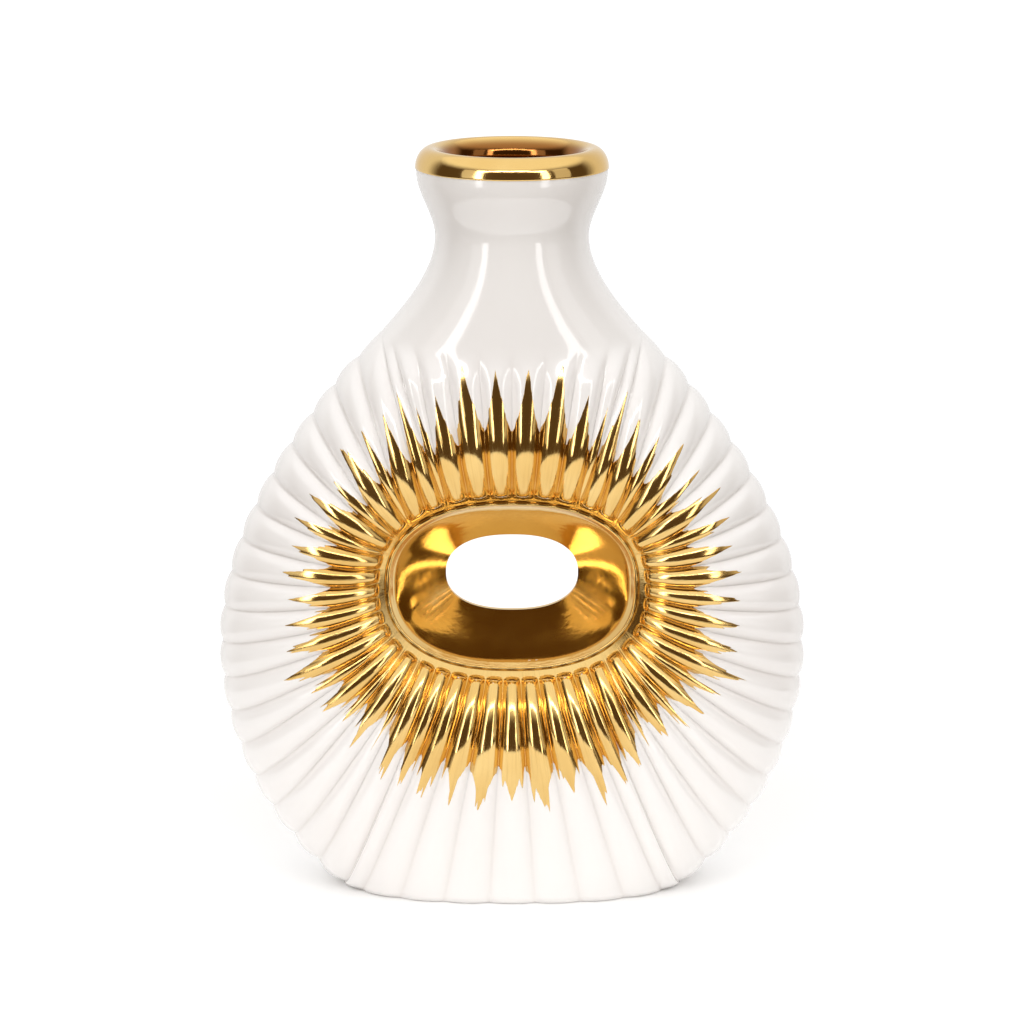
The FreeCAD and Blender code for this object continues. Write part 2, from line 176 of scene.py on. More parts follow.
def squareness(z):
    rounding = ease(eye_height + eye_half_height, collar_height, z)
    return mix(body_squareness, round_squareness, rounding)


def face_depth(x, z):
    share = np.clip(np.abs(x) / half_width(z), 0, 1)
    return half_depth(z) * np.sqrt(np.clip(1 - share ** squareness(z), 0, None))


print("widest", 2 * half_width(np.array(belly_height)))

# %% [markdown]
# ## Where the flutes run
#
# Each flute is a straight line on the face, from the rim of the eye out to the foot, the side or the
# collar. The ends are spaced evenly along the outline, so the curve's length is added up first and
# then divided, in the way a pair of dividers is walked along a drawing.

# %% Spacing along the outline
def plan_oval(share, z):
    angle = np.pi * (share - 0.5)
    x = np.sign(angle) * half_width(z) * np.abs(np.sin(angle)) ** (2 / squareness(z))
    return np.stack([x, -half_depth(z) * np.abs(np.cos(angle)), z + 0 * share], -1)


def side_outline(share):
    z = collar_height * share
    return np.stack([half_width(z), 0 * z, z], -1)


def even_shares(curve):
    """Turns a share of the curve's length into the curve's own share."""
    shares = np.linspace(0, 1, 401)
    points = curve(shares)
    steps = np.linalg.norm(np.diff(points, axis=0), axis=1)
    lengths = np.concatenate([[0], np.cumsum(steps)])
    return lambda share: np.interp(np.clip(share, 0, 1) * lengths[-1], lengths, shares)


foot_level = np.array(0.0)
collar_level = np.array(collar_height)
even_foot = even_shares(lambda share: plan_oval(share, foot_level))
even_side = even_shares(side_outline)
even_collar = even_shares(lambda share: plan_oval(share, collar_level))


def outer_end(place):
    turned = (place + flute_count / 2) % flute_count - flute_count / 2
    side = np.where(turned < 0, -1.0, 1.0)
    far = np.abs(turned)
    at_foot = plan_oval(even_foot(0.5 + far / flutes_at_foot), foot_level)
    at_side = side_outline(even_side((far - foot_corner) / flutes_up_a_side))
    at_collar = plan_oval(even_collar(1 - (far - collar_corner) / flutes_at_collar), collar_level)
    ends = np.where((far <= collar_corner)[..., None], at_side, at_collar)
    ends = np.where((far <= foot_corner)[..., None], at_foot, ends)
    ends[..., 0] *= side
    return ends


print("the outline's right end", outer_end(np.array(13.5)))

# %% Spacing round the eye
def is_wedge(flute):
    flute = flute % flute_count
    flute = flute_count - flute if flute > flute_count / 2 else flute
    if flute < foot_corner:
        return False
    if flute < collar_corner:
        from_end = flute - math.ceil(foot_corner)
        return min(from_end, flutes_up_a_side - 1 - from_end) in (1, 3, 5)
    from_end = flute - math.ceil(collar_corner)
    return min(from_end, flutes_at_collar - 1 - from_end) == 1


rim_shares = [wedge_share if is_wedge(flute) else 1.0 for flute in range(flute_count)]
rim_sums = np.concatenate([[0], np.cumsum(rim_shares)])


def eye_angle(place):
    turns = np.floor((place + 0.5) / flute_count)
    inside = place + 0.5 - turns * flute_count
    total = np.interp(inside, np.arange(flute_count + 1), rim_sums) - 0.5
    angle = 2 * np.pi * total / rim_sums[-1]
    return angle - bead_crowding * np.sin(angle) + 2 * np.pi * turns


def on_eye(angle, half_wide, half_high, y):
    """Points of an oval round the eye, a little squarer than an ellipse."""
    across, down = np.sin(angle), np.cos(angle)
    length = np.abs(across) ** eye_squareness + np.abs(down) ** eye_squareness
    size = length ** (-1 / eye_squareness)
    x = half_wide * across * size
    z = eye_height - half_high * down * size
    return np.stack([x, y + 0 * angle, z], -1)


print("wedge flutes", sum(is_wedge(flute) for flute in range(flute_count)))

# %% [markdown]
# ## The fluted face
#
# The plain face bulges like a cushion and falls in to the eye. A flute is a round-backed ridge on it:
# nothing in the valleys, and highest along the middle. The ridge is pushed out along the face's own
# normal, which is the cross product of two short steps, one along the flute and one across it.

# %% Points of the plain face
tangent_step = 0.004


def plain_point(place, along):
    """along is 0 at the eye's rim and 1 at the outline."""
    inner = on_eye(eye_angle(place), eye_half_width, eye_half_height, 0)
    outer = outer_end(place)
    ahead = 1 - (1 - along) ** 2
    x = inner[..., 0] * (1 - ahead) + outer[..., 0] * ahead
    z = inner[..., 2] * (1 - ahead) + outer[..., 2] * ahead
    distance = np.hypot(x - inner[..., 0], z - inner[..., 2])
    dip = np.clip(1 - distance / dish_reach, 0, None) ** 2
    depth = mix(face_depth(x, z), eye_face, dip)
    depth = np.where(along > 1, -depth, depth)
    return np.stack([x, -depth, z], -1)


def on_side(place):
    turned = np.abs((place + flute_count / 2) % flute_count - flute_count / 2)
    return (turned > foot_corner) & (turned < collar_corner)


def outward(place, along):
    """The direction out of the plain face, from short steps along and across it."""
    step = tangent_step
    above = np.where(on_side(place) | (along + step <= 1), along + step, 1.0)
    below = np.clip(along - step, 0, None)
    down_line = plain_point(place, above) - plain_point(place, below)
    across = plain_point(place + step, along) - plain_point(place - step, along)
    normal = np.cross(down_line, across)
    normal[..., 1] = np.where(on_side(place) & (along >= 1), 0, normal[..., 1])
    level = plain_point(place, along)[..., 2]
    normal[..., 2] *= ease(0, level_margin, level) * ease(0, level_margin, collar_height - level)
    return normal / np.linalg.norm(normal, axis=-1, keepdims=True)


# %% Points of the flutes
def line_length(place):
    inner = on_eye(eye_angle(place), eye_half_width, eye_half_height, 0)
    outer = outer_end(place)
    return np.hypot(outer[..., 0] - inner[..., 0], outer[..., 2] - inner[..., 2])


def ridge_height(flute, along):
    low = plain_point(flute - 0.5, along)
    high = plain_point(flute + 0.5, along)
    width = np.hypot(high[..., 0] - low[..., 0], high[..., 2] - low[..., 2])
    distance = (1 - (1 - along) ** 2) * line_length(flute)
    rise = mix(ridge_at_eye, ridge_on_face, ease(0, dish_reach, distance))
    rise = mix(rise, ridge_at_edge, ease(ridge_edge_start, 1, along))
    rise = np.minimum(rise, ridge_per_width * width)
    rise = rise * ease(land_width, land_width + flute_foot_length, distance)
    return rise * (1 - ease(fade_start_height, collar_height, plain_point(flute, along)[..., 2]))


def outer_point(place, along, raised=0.0):
    flute = np.floor(place + 0.5)
    aside = np.clip(np.abs(place - flute) * 2, 0, 1)
    crest = ridge_height(flute, along) * (1 - aside**ridge_roundness)
    return plain_point(place, along) + outward(place, along) * (crest + raised)[..., None]


def inner_point(place, along):
    straight = np.where(along < 1, (1 - along) ** 4, 0)[..., None]
    direction = outward(place, along) * (1 - straight) + np.array([0, -1, 0]) * straight
    direction = direction / np.linalg.norm(direction, axis=-1, keepdims=True)
    return plain_point(place, along) - direction * wall


# %% [markdown]
# ## From points to a mesh
#
# A grid of points becomes quads between neighbours. Grids that share an edge are welded: points at the
# same place become one, so the shading runs on across the join. A few helper functions do this for
# every piece, and each piece also keeps a few numbers on its points for its material to read.

# %% Mesh helpers
def quads(rows, columns, start, flip):
    index = np.arange(rows * columns).reshape(rows, columns) + start
    corners = [index[:-1, :-1], index[1:, :-1], index[1:, 1:], index[:-1, 1:]]
    order = corners[::-1] if flip else corners
    return np.stack(order, -1).reshape(-1, 4)


def mirrored(grid):
    return grid * np.array([1, -1, 1])


def weld(points, faces):
    """Points at the same place become one, and faces that have shrunk to nothing are dropped."""
    keys = np.rint(points / 1e-7).astype(np.int64)
    _, first, group = np.unique(keys, axis=0, return_index=True, return_inverse=True)
    faces = group.reshape(-1)[faces]
    spread = np.sort(faces, axis=1)
    whole = (np.diff(spread, axis=1) > 0).all(axis=1)
    return first, faces[whole]


def make_piece(name, grids, notes=None, sharp=None):
    """grids is a list of (points, flipped). notes maps an attribute name to one array per grid."""
    points, faces, start = [], [], 0
    for grid, flip in grids:
        rows, columns = grid.shape[:2]
        points.append(grid.reshape(-1, 3))
        faces.append(quads(rows, columns, start, flip))
        start += rows * columns
    points = np.concatenate(points)
    kept, faces = weld(points, np.concatenate(faces))
    mesh = bpy.data.meshes.new(name)
    mesh.vertices.add(len(kept))
    mesh.vertices.foreach_set("co", points[kept].astype(np.float32).ravel())
    mesh.loops.add(faces.size)
    mesh.loops.foreach_set("vertex_index", faces.astype(np.int32).ravel())
    mesh.polygons.add(len(faces))
    mesh.polygons.foreach_set("loop_start", np.arange(0, faces.size, 4, dtype=np.int32))
    for label, arrays in (notes or {}).items():
        values = np.concatenate([array.reshape(-1) for array in arrays])[kept]
        attribute = mesh.attributes.new(label, "FLOAT", "POINT")
        attribute.data.foreach_set("value", values.astype(np.float32))
    mesh.update(calc_edges=True)
    mesh.validate()
    mesh.polygons.foreach_set("use_smooth", np.ones(len(mesh.polygons), bool))
    if sharp:
        mesh.set_sharp_from_angle(angle=math.radians(sharp))
    piece = bpy.data.objects.new(name, mesh)
    bpy.context.scene.collection.objects.link(piece)
    print(name, len(mesh.vertices), "points", len(mesh.polygons), "faces")
    return piece


# %% [markdown]
# ## The glazed body
#
# The front face is one grid: rows run from the eye's rim to the outline and columns go round the eye.
# Its mirror image is the back. Both share their points along the side, where the plaster mould's two
# halves met, and on a good casting no line is left there. The neck carries on from the collar.

# %% Front and back faces
across_flute = 16
rows_along = 112
crowd_at_eye = 1.6
steps = (np.arange(rows_along) / (rows_along - 1)) ** crowd_at_eye
columns = flute_count * across_flute + 1
places = -0.5 + np.arange(columns) / across_flute
place_grid, along_grid = np.meshgrid(places, steps)
face = outer_point(place_grid, along_grid)
face[:, -1] = face[:, 0]
side_columns = on_side(places)
face[-1, side_columns, 1] = 0.0
aside_grid = np.abs(place_grid - np.floor(place_grid + 0.5)) * 2
valley = aside_grid**6 * (1 - ease(fade_start_height, collar_height, face[..., 2]))
print("face grid", face.shape)

# %% Neck, from the collar up to the lip
def ends_on_collar(places):
    return (places >= collar_corner - 1e-9) & (places <= flute_count - collar_corner + 1e-9)


collar_columns = ends_on_collar(places)
collar_share = even_collar(1 - (places[collar_columns] - collar_corner) / flutes_at_collar)
neck_levels = np.linspace(collar_height, lip_seat_height, 56)
share_grid, level_grid = np.meshgrid(collar_share, neck_levels)
neck = plan_oval(share_grid, level_grid)
neck[0] = face[-1, collar_columns]
neck[:, [0, -1], 1] = 0.0
print("neck grid", neck.shape)

# %% [markdown]
# ## The rolled lip
#
# The lip is a soft roll. Its outside rises from the neck as a Bezier curve and its top is half of an
# ellipse. The glaze goes on under the gold and down the bore, a hair's breadth behind it, so the gold
# has something to lie on all the way.

# %% Lip and bore
film = 0.2 * MM
equator = height - lip_crown_height


def turned_rows(profile, shares):
    """Carries the neck's columns round a profile of (radius, height) points."""
    angle = np.pi * (shares - 0.5)
    radius, level = np.array(profile).T
    x = radius[:, None] * np.sin(angle)
    y = -radius[:, None] * np.abs(np.cos(angle))
    return np.stack([x, y, level[:, None] + 0 * x], -1)


def bezier(t, a, b, c, d):
    return a * (1 - t) ** 3 + 3 * b * t * (1 - t) ** 2 + 3 * c * t * t * (1 - t) + d * t**3


def rising_profile(top_radius, count):
    rise = (equator - lip_seat_height) / 3
    t = np.linspace(0, 1, count)
    radius = bezier(t, lip_seat_radius, lip_seat_radius + lip_seat_slope * rise, top_radius, top_radius)
    return list(zip(radius, mix(lip_seat_height, equator, t)))


def crown_profile(depth, count):
    centre = (lip_outer_radius + mouth_radius) / 2
    half = (lip_outer_radius - mouth_radius) / 2 - depth
    turn = np.linspace(0, np.pi, count)
    return list(zip(centre + half * np.cos(turn), equator + (lip_crown_height - depth) * np.sin(turn)))


under_gold = 1.5 * film
lip_profile = rising_profile(lip_outer_radius - under_gold, 14) + crown_profile(under_gold, 30)[1:]
lip_profile.append((mouth_radius + under_gold, lip_seat_height))
bore_levels = np.linspace(lip_seat_height - 1 * MM, bore_bottom_height, 12)
lip_profile += [(mouth_radius, level) for level in bore_levels]
lip = turned_rows(lip_profile, collar_share)
lip[0] = neck[-1]
lip[:, [0, -1], 1] = 0.0
print("lip grid", lip.shape)

# %% The glazed outside as one piece
no_valley = [np.zeros(neck.shape[:2]), np.zeros(lip.shape[:2])]
outside_grids = [(face, False), (neck, False), (lip, False)]
outside_grids += [(mirrored(grid), True) for grid, _ in outside_grids]
valleys = ([valley] + no_valley) * 2
glazed_body = make_piece("glazed_body", outside_grids, {"valley": valleys})

# %% [markdown]
# ## The inside and the foot
#
# Slip casting leaves a wall of one thickness, so the inside is the plain face moved in by the wall,
# without the flutes. It is seen only down the mouth, and needs few points. Under the foot the glaze is
# wiped off before firing, or the vase would stick to the kiln shelf. That ring is bare.

# %% Inside wall
inner_across = 4
inner_rows = 28
inner_places = -0.5 + np.arange(flute_count * inner_across + 1) / inner_across
inner_steps = (np.arange(inner_rows) / (inner_rows - 1)) ** 1.3
inner_place_grid, inner_along_grid = np.meshgrid(inner_places, inner_steps)
inner_face = inner_point(inner_place_grid, inner_along_grid)
inner_face[:, -1] = inner_face[:, 0]
inner_face[-1, on_side(inner_places), 1] = 0.0
inner_columns = ends_on_collar(inner_places)
inner_share = even_collar(1 - (inner_places[inner_columns] - collar_corner) / flutes_at_collar)
throat_levels = np.linspace(collar_height, bore_bottom_height, 10)
inner_share_grid, throat_grid = np.meshgrid(inner_share, throat_levels)
hollow = plan_oval(inner_share_grid, throat_grid)
hollow[..., 0] *= (1 - wall / half_width(throat_grid))
hollow[..., 1] *= (1 - wall / half_depth(throat_grid))
hollow[0] = inner_face[-1, inner_columns]
hollow[-1] = turned_rows([(mouth_radius, bore_bottom_height)], inner_share)[0]
hollow[:, [0, -1], 1] = 0.0
inside_grids = [(inner_face, True), (hollow, True)]
inside_grids += [(mirrored(grid), False) for grid, _ in inside_grids]
inside_valleys = [np.zeros(grid.shape[:2]) for grid, _ in inside_grids]
inside_wall = make_piece("inside_wall", inside_grids, {"valley": inside_valleys})

# %% Foot ring
foot_columns = np.abs((places + flute_count / 2) % flute_count - flute_count / 2) <= foot_corner + 1e-9
foot_places = np.sort((places[foot_columns] + flute_count / 2) % flute_count - flute_count / 2)
foot_one = np.ones(len(foot_places))
rim_outer = outer_point(foot_places, foot_one)
rim_inner = inner_point(foot_places, foot_one)
rim_inner[[0, -1], 1] = 0.0
rim_outer[[0, -1], 1] = 0.0
rim = mix(rim_outer[None], rim_inner[None], np.linspace(0, 1, 5)[:, None, None])
foot_ring = make_piece("foot_ring", [(rim, False), (mirrored(rim), True)])

# %% [markdown]
# ## Gold on the flutes
#
# Gold lustre is an oily brown liquid that holds real gold. The painter lays it on each flute with a
# pointed brush, from the eye outward, so every stroke is broad at the eye and ends in a point, and the
# hairs of the brush leave fine streaks past it. Here each face has one thin skin. Its edge is the
# blade's outline plus a seeded scatter of short hairs, longer below the eye where the strokes end dry.

# %% How far the gold reaches
rng = np.random.default_rng(53)
gold_across = 40
blade_slenderness = 1.6
notch_above = 0.57
notch_below = 0.72
hairs_per_flute = 4
reach_up = 50.0 * MM
reach_side = 38.0 * MM
reach_down = 46.0 * MM
reach_scatter = 4.5 * MM
scatter_turn = 2.4
wedge_fade = 0.85
gold_places = -0.5 + np.arange(flute_count * gold_across + 1) / gold_across
gold_flute = np.floor(gold_places + 0.5)
gold_aside = np.clip(np.abs(gold_places - gold_flute) * 2, 0, 1)


def blade_reach(flute):
    """How far the painter's stroke runs on a flute, a little different on every one."""
    angle = eye_angle(flute)
    up = np.clip(-np.cos(angle), 0, None)
    down = np.clip(np.cos(angle), 0, None)
    reach = mix(reach_side, reach_up, up * up)
    reach = mix(reach, reach_down, down * down)
    wedge = np.array([is_wedge(int(number)) for number in flute.reshape(-1)])
    reach = np.where(wedge.reshape(flute.shape), reach * wedge_fade, reach)
    return reach + reach_scatter * np.sin(scatter_turn * flute * flute)


def blade_outline(aside, notch):
    """The share of the reach that is gold: notch between two blades, and 1 along their middles."""
    return mix(notch, 1.0, (1 - aside) ** blade_slenderness)


flute_numbers = (gold_flute + flute_count / 2) % flute_count - flute_count / 2
below_eye = ease(0.0, 0.9, np.cos(eye_angle(gold_places)))
beside_eye = ease(0.3, 1.0, np.abs(np.sin(eye_angle(gold_places))))
notch = mix(notch_above, notch_below, below_eye)
smooth_reach = blade_reach(flute_numbers) * blade_outline(gold_aside, notch)

# %% Hairs of the brush
signed_aside = (gold_places - gold_flute) * 2
own_flute = (gold_flute % flute_count).astype(int)
longest_hair = mix(mix(3.0, 6.0, beside_eye), 10.0, below_eye) * MM
full_reach = smooth_reach + rng.random(gold_places.shape) ** 3 * 0.8 * MM
for hair in range(hairs_per_flute):
    middle = mix(-0.85, 0.85, rng.random(flute_count))[own_flute]
    thickness = mix(0.06, 0.20, rng.random(flute_count))[own_flute]
    length = rng.random(flute_count)[own_flute] ** 1.5 * longest_hair
    point = np.clip(1 - np.abs(signed_aside - middle) / thickness, 0, 1)
    root = blade_reach(flute_numbers) * blade_outline(np.abs(middle), notch)
    hair_reach = mix(smooth_reach, root + length, point**0.8)
    full_reach = np.maximum(full_reach, np.where(point > 0, hair_reach, 0))
full_reach[-1] = full_reach[0]
print("gold reaches", smooth_reach.min(), "to", full_reach.max(), "metres")

# %% The skin of gold on each face
gold_rise = 0.10 * MM
tuck = 0.03 * MM
body_rows = 38
hair_rows = 6
body_share = np.linspace(0, 1, body_rows) ** 1.4
solid_reach = 0.97 * smooth_reach
inner_part = body_share[:, None] * solid_reach[None]
hair_share = np.linspace(0, 1, hair_rows + 1)[1:, None]
outer_part = mix(solid_reach[None], full_reach[None], hair_share)
tucked_row = full_reach[None] + 0.05 * MM
distance = np.concatenate([inner_part, outer_part, tucked_row])
gold_lines = line_length(gold_places)[None]
gold_along = 1 - np.sqrt(np.clip(1 - distance / gold_lines, 0, 1))
lift = np.full(distance.shape, gold_rise)
lift[-1] = -tuck
gold_place_grid = np.broadcast_to(gold_places, distance.shape)
sheet = outer_point(gold_place_grid, gold_along, lift)
sheet[:, -1] = sheet[:, 0]
gold_notes = {
    "valley": [gold_aside**10 * ease(0.002, 0.012, distance)] * 2,
    "across": [gold_place_grid * 1.0] * 2,
    "outwards": [distance / MM] * 2,
}
one_note = {label: arrays[:1] for label, arrays in gold_notes.items()}
gold_rays = {
    "front": make_piece("front_gold_flutes", [(sheet, False)], one_note),
    "back": make_piece("back_gold_flutes", [(mirrored(sheet), True)], one_note),
}

# %% [markdown]
# ## The lining of the eye
#
# The eye is a dished oval: a narrow raised bead, a small step down behind it, and then a hollow funnel
# to the throat. The same oval is swept from the rim to the throat by one profile, in the way a
# template is run round a plaster model.

# %% Profile of the eye
def arc(start, end, bulge, count):
    """Points from start to end that rise by bulge on the way, as (spread, y) pairs."""
    turn = np.linspace(0, np.pi, count)
    share = (1 - np.cos(turn)) / 2
    spread = mix(start[0], end[0], share)
    y = mix(start[1], end[1], share) - bulge * np.sin(turn)
    return np.stack([spread, y], -1)


face_y = -eye_face
bead_spread = 0.93
dish_spread = 0.88
step_y = face_y + 2.6 * MM
throat_y = -1.2 * MM
bead = arc((1.0, face_y), (bead_spread, face_y), 0.9 * MM, 15)
cove_t = np.linspace(0, 1, 9)[1:, None]
cove = mix(np.array([bead_spread, face_y]), np.array([dish_spread, step_y]), cove_t)
dish_share = np.linspace(0, 1, 44)[1:]
dish_spreads = dish_spread * (1 - dish_share)
dish_y = mix(step_y, throat_y, (1 - dish_spreads / dish_spread) ** 0.8)
dish = np.stack([dish_spreads, dish_y], -1)
throat = np.stack([np.zeros(4), np.linspace(throat_y, 0, 4)], -1)[1:]
eye_profile = np.concatenate([bead, cove, dish, throat])
print("eye profile", len(eye_profile), "points")

# %% The two linings
turn_count = 288
eye_turns = 2 * np.pi * np.arange(turn_count + 1) / turn_count
spread_grid = eye_profile[:, 0][:, None] + 0 * eye_turns
half_wide = mix(throat_half_width, eye_half_width, spread_grid)
half_high = mix(throat_half_height, eye_half_height, spread_grid)
turn_grid = eye_turns[None] + 0 * spread_grid
y_grid = eye_profile[:, 1][:, None] + 0 * spread_grid
lining = on_eye(turn_grid, half_wide, half_high, y_grid)
lining[:, -1] = lining[:, 0]
gold_eyes = {
    "front": make_piece("front_eye_lining", [(lining, True)], None, 40),
    "back": make_piece("back_eye_lining", [(mirrored(lining), False)], None, 40),
}

# %% [markdown]
# ## Gold on the lip
#
# The gilder holds the brush still against the lip while the vase turns on a wheel. The gold covers the
# roll from its outer equator, over the top and down inside the mouth. Inside, the shade down the bore is
# painted into the gold as a dark brown: a number on the points says where the mouth begins, and the
# material turns darker there.

# %% Gold crown
lip_turns = np.linspace(0, 1, 129)
gold_crown = [(lip_outer_radius - under_gold, equator - 0.1 * MM)] + crown_profile(0.0, 40)
gold_crown += [(mouth_radius, level) for level in np.linspace(equator, lip_seat_height, 8)[1:]]
crown_grid = turned_rows(gold_crown, lip_turns)
crown_grid[:, [0, -1], 1] = 0.0
from_axis = np.hypot(crown_grid[..., 0], crown_grid[..., 1])
# Painted shade: this mask darkens the gold down inside the mouth, where shade falls.
mouth_shade = ease(mouth_radius + 4 * MM, mouth_radius + 1 * MM, from_axis)
crown_notes = {"mouth": [mouth_shade, mouth_shade]}
crown_grids = [(crown_grid, False), (mirrored(crown_grid), True)]
gold_crown_piece = make_piece("gilded_lip", crown_grids, crown_notes)

# %% [markdown]
# ## Material helpers
#
# A material in Blender is a small graph of nodes. These helpers keep the cells below short: one adds a
# node, one makes a soft noise, and one turns a value into a range.

# %% Node helpers
def new_material(name):
    material = bpy.data.materials.new(name)
    material.use_nodes = True
    nodes = material.node_tree.nodes
    return material, nodes, material.node_tree.links, nodes["Principled BSDF"]


def noise(nodes, links, source, scale, detail=3.0, rough=0.5):
    node = nodes.new("ShaderNodeTexNoise")
    node.inputs["Scale"].default_value = scale
    node.inputs["Detail"].default_value = detail
    node.inputs["Roughness"].default_value = rough
    links.new(source, node.inputs["Vector"])
    return node.outputs["Fac"]


def to_range(nodes, links, value, low, high, start=0.3, end=0.7):
    node = nodes.new("ShaderNodeMapRange")
    node.inputs["From Min"].default_value = start
    node.inputs["From Max"].default_value = end
    node.inputs["To Min"].default_value = low
    node.inputs["To Max"].default_value = high
    links.new(value, node.inputs["Value"])
    return node.outputs["Result"]


def blend_colours(nodes, links, factor, first, second):
    node = nodes.new("ShaderNodeMix")
    node.data_type = "RGBA"
    links.new(factor, node.inputs["Factor"])
    for colour, socket in ((first, node.inputs[6]), (second, node.inputs[7])):
        if isinstance(colour, tuple):
            socket.default_value = (*colour, 1.0)
        else:
            links.new(colour, socket)
    return node.outputs[2]


def bumped(nodes, links, shader, height_value, strength, depth):
    node = nodes.new("ShaderNodeBump")
    node.inputs["Strength"].default_value = strength
    node.inputs["Distance"].default_value = depth
    links.new(height_value, node.inputs["Height"])
    links.new(node.outputs["Normal"], shader.inputs["Normal"])


def object_place(nodes):
    return nodes.new("ShaderNodeTexCoord").outputs["Object"]


def note(nodes, label):
    node = nodes.new("ShaderNodeAttribute")
    node.attribute_name = label
    return node.outputs["Fac"]


def paint(piece, material):
    if piece.data.materials:
        for number in range(len(piece.data.materials)):
            piece.data.materials[number] = material
    else:
        piece.data.materials.append(material)


# %% [markdown]
# ## White glaze
#
# Feldspar glaze on porcelain is clear glass over a warm white body, and its surface has a very faint
# orange peel.
# So: a warm white that drifts slightly, a greyer tint painted in as shade where the "valley" number is
# high, low roughness and a clear coat.

# %% Glaze material
glaze, nodes, links, shader = new_material("warm_white_glaze")
place = object_place(nodes)
drift = noise(nodes, links, place, 14.0)
cool_white = (0.92, 0.89, 0.87)
warm_white = (0.945, 0.925, 0.905)
# Painted shade for the valleys of the flutes.
shaded_valley_white = (0.84, 0.78, 0.74)
white = blend_colours(nodes, links, to_range(nodes, links, drift, 0, 1), cool_white, warm_white)
# Painted shade: the glaze is tinted greyer where the "valley" number is high, in the valleys of the
# flutes.
glaze_valley_shade = to_range(nodes, links, note(nodes, "valley"), 0.0, 0.35, 0.0, 1.0)
links.new(blend_colours(nodes, links, glaze_valley_shade, white, shaded_valley_white), shader.inputs["Base Color"])
gloss = noise(nodes, links, place, 60.0)
links.new(to_range(nodes, links, gloss, 0.10, 0.17), shader.inputs["Roughness"])
bumped(nodes, links, shader, noise(nodes, links, place, 260.0, 2.0), 0.10, 0.0002)
shader.inputs["IOR"].default_value = 1.5
shader.inputs["Coat Weight"].default_value = 0.5
shader.inputs["Coat Roughness"].default_value = 0.03
print("glaze ready")

# %% Bare porcelain
bare, nodes, links, shader = new_material("bare_porcelain_body")
place = object_place(nodes)
grain = noise(nodes, links, place, 900.0, 4.0)
grey_body = (0.80, 0.765, 0.72)
pale_body = (0.88, 0.85, 0.81)
tone = blend_colours(nodes, links, to_range(nodes, links, grain, 0, 1), grey_body, pale_body)
links.new(tone, shader.inputs["Base Color"])
links.new(to_range(nodes, links, grain, 0.55, 0.75), shader.inputs["Roughness"])
bumped(nodes, links, shader, grain, 0.25, 0.0002)

# %% [markdown]
# ## Gold lustre
#
# Fired lustre is a mirror of real gold, only a few hundred atoms thick. The valleys between the flutes
# are painted a darker red-brown, as the shade that falls in them, and the brush leaves faint streaks
# along each flute, some drier and browner. The streaks follow two numbers kept on the points: the place
# across and the way outward.

# %% Gold materials
deep_gold = (0.74, 0.47, 0.15)
light_gold = (0.85, 0.60, 0.24)
# Painted shade for the valleys between the flutes.
shaded_valley_gold = (0.58, 0.27, 0.05)
dry_gold = (0.62, 0.36, 0.10)
# Painted shade for the gold down inside the mouth.
mouth_shade_gold = (0.30, 0.12, 0.03)


def scaled(nodes, links, value, factor):
    node = nodes.new("ShaderNodeMath")
    node.operation = "MULTIPLY"
    node.inputs[1].default_value = factor
    links.new(value, node.inputs[0])
    return node.outputs[0]


def gold_material(name, with_strokes):
    material, nodes, links, shader = new_material(name)
    place = object_place(nodes)
    cloud = noise(nodes, links, place, 35.0, 4.0)
    tone = blend_colours(nodes, links, to_range(nodes, links, cloud, 0, 1), deep_gold, light_gold)
    rough = to_range(nodes, links, noise(nodes, links, place, 90.0), 0.07, 0.13)
    height_value = noise(nodes, links, place, 420.0, 3.0)
    if with_strokes:
        strokes = nodes.new("ShaderNodeCombineXYZ")
        links.new(scaled(nodes, links, note(nodes, "across"), 14.0), strokes.inputs["X"])
        links.new(scaled(nodes, links, note(nodes, "outwards"), 0.05), strokes.inputs["Y"])
        streaks = noise(nodes, links, strokes.outputs[0], 1.0, 3.0, 0.6)
        # Painted shade: the valleys between the flutes turn a darker red-brown.
        gold_valley_shade = to_range(nodes, links, note(nodes, "valley"), 0.0, 0.8, 0.1, 1.0)
        tone = blend_colours(nodes, links, gold_valley_shade, tone, shaded_valley_gold)
        dry = to_range(nodes, links, streaks, 0.0, 0.40, 0.50, 0.75)
        tone = blend_colours(nodes, links, dry, tone, dry_gold)
        rough = to_range(nodes, links, streaks, 0.08, 0.17)
        height_value = streaks
    # Painted shade: the gold turns dark brown down inside the mouth.
    tone = blend_colours(nodes, links, note(nodes, "mouth"), tone, mouth_shade_gold)
    links.new(tone, shader.inputs["Base Color"])
    links.new(rough, shader.inputs["Roughness"])
    bumped(nodes, links, shader, height_value, 0.25 if with_strokes else 0.12, 0.0002)
    shader.inputs["Metallic"].default_value = 1.0
    shader.inputs["IOR"].default_value = 1.5
    return material


brushed_gold = gold_material("gold_lustre_brushed", True)
even_gold = gold_material("gold_lustre_even", False)
print("gold ready")

# %% [markdown]
# ## Put the pieces in place
#
# Every piece rides on the vase's one body, hides the imported nodes it stands for, and takes its
# material. The imported eye walls and the floor have the right shape already, so they only get a finish.

# %% Ride, replace and paint
def settle(piece, material, slot, *nodes_it_replaces):
    paint(piece, material)
    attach(piece, "root")
    if nodes_it_replaces:
        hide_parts(*nodes_it_replaces)


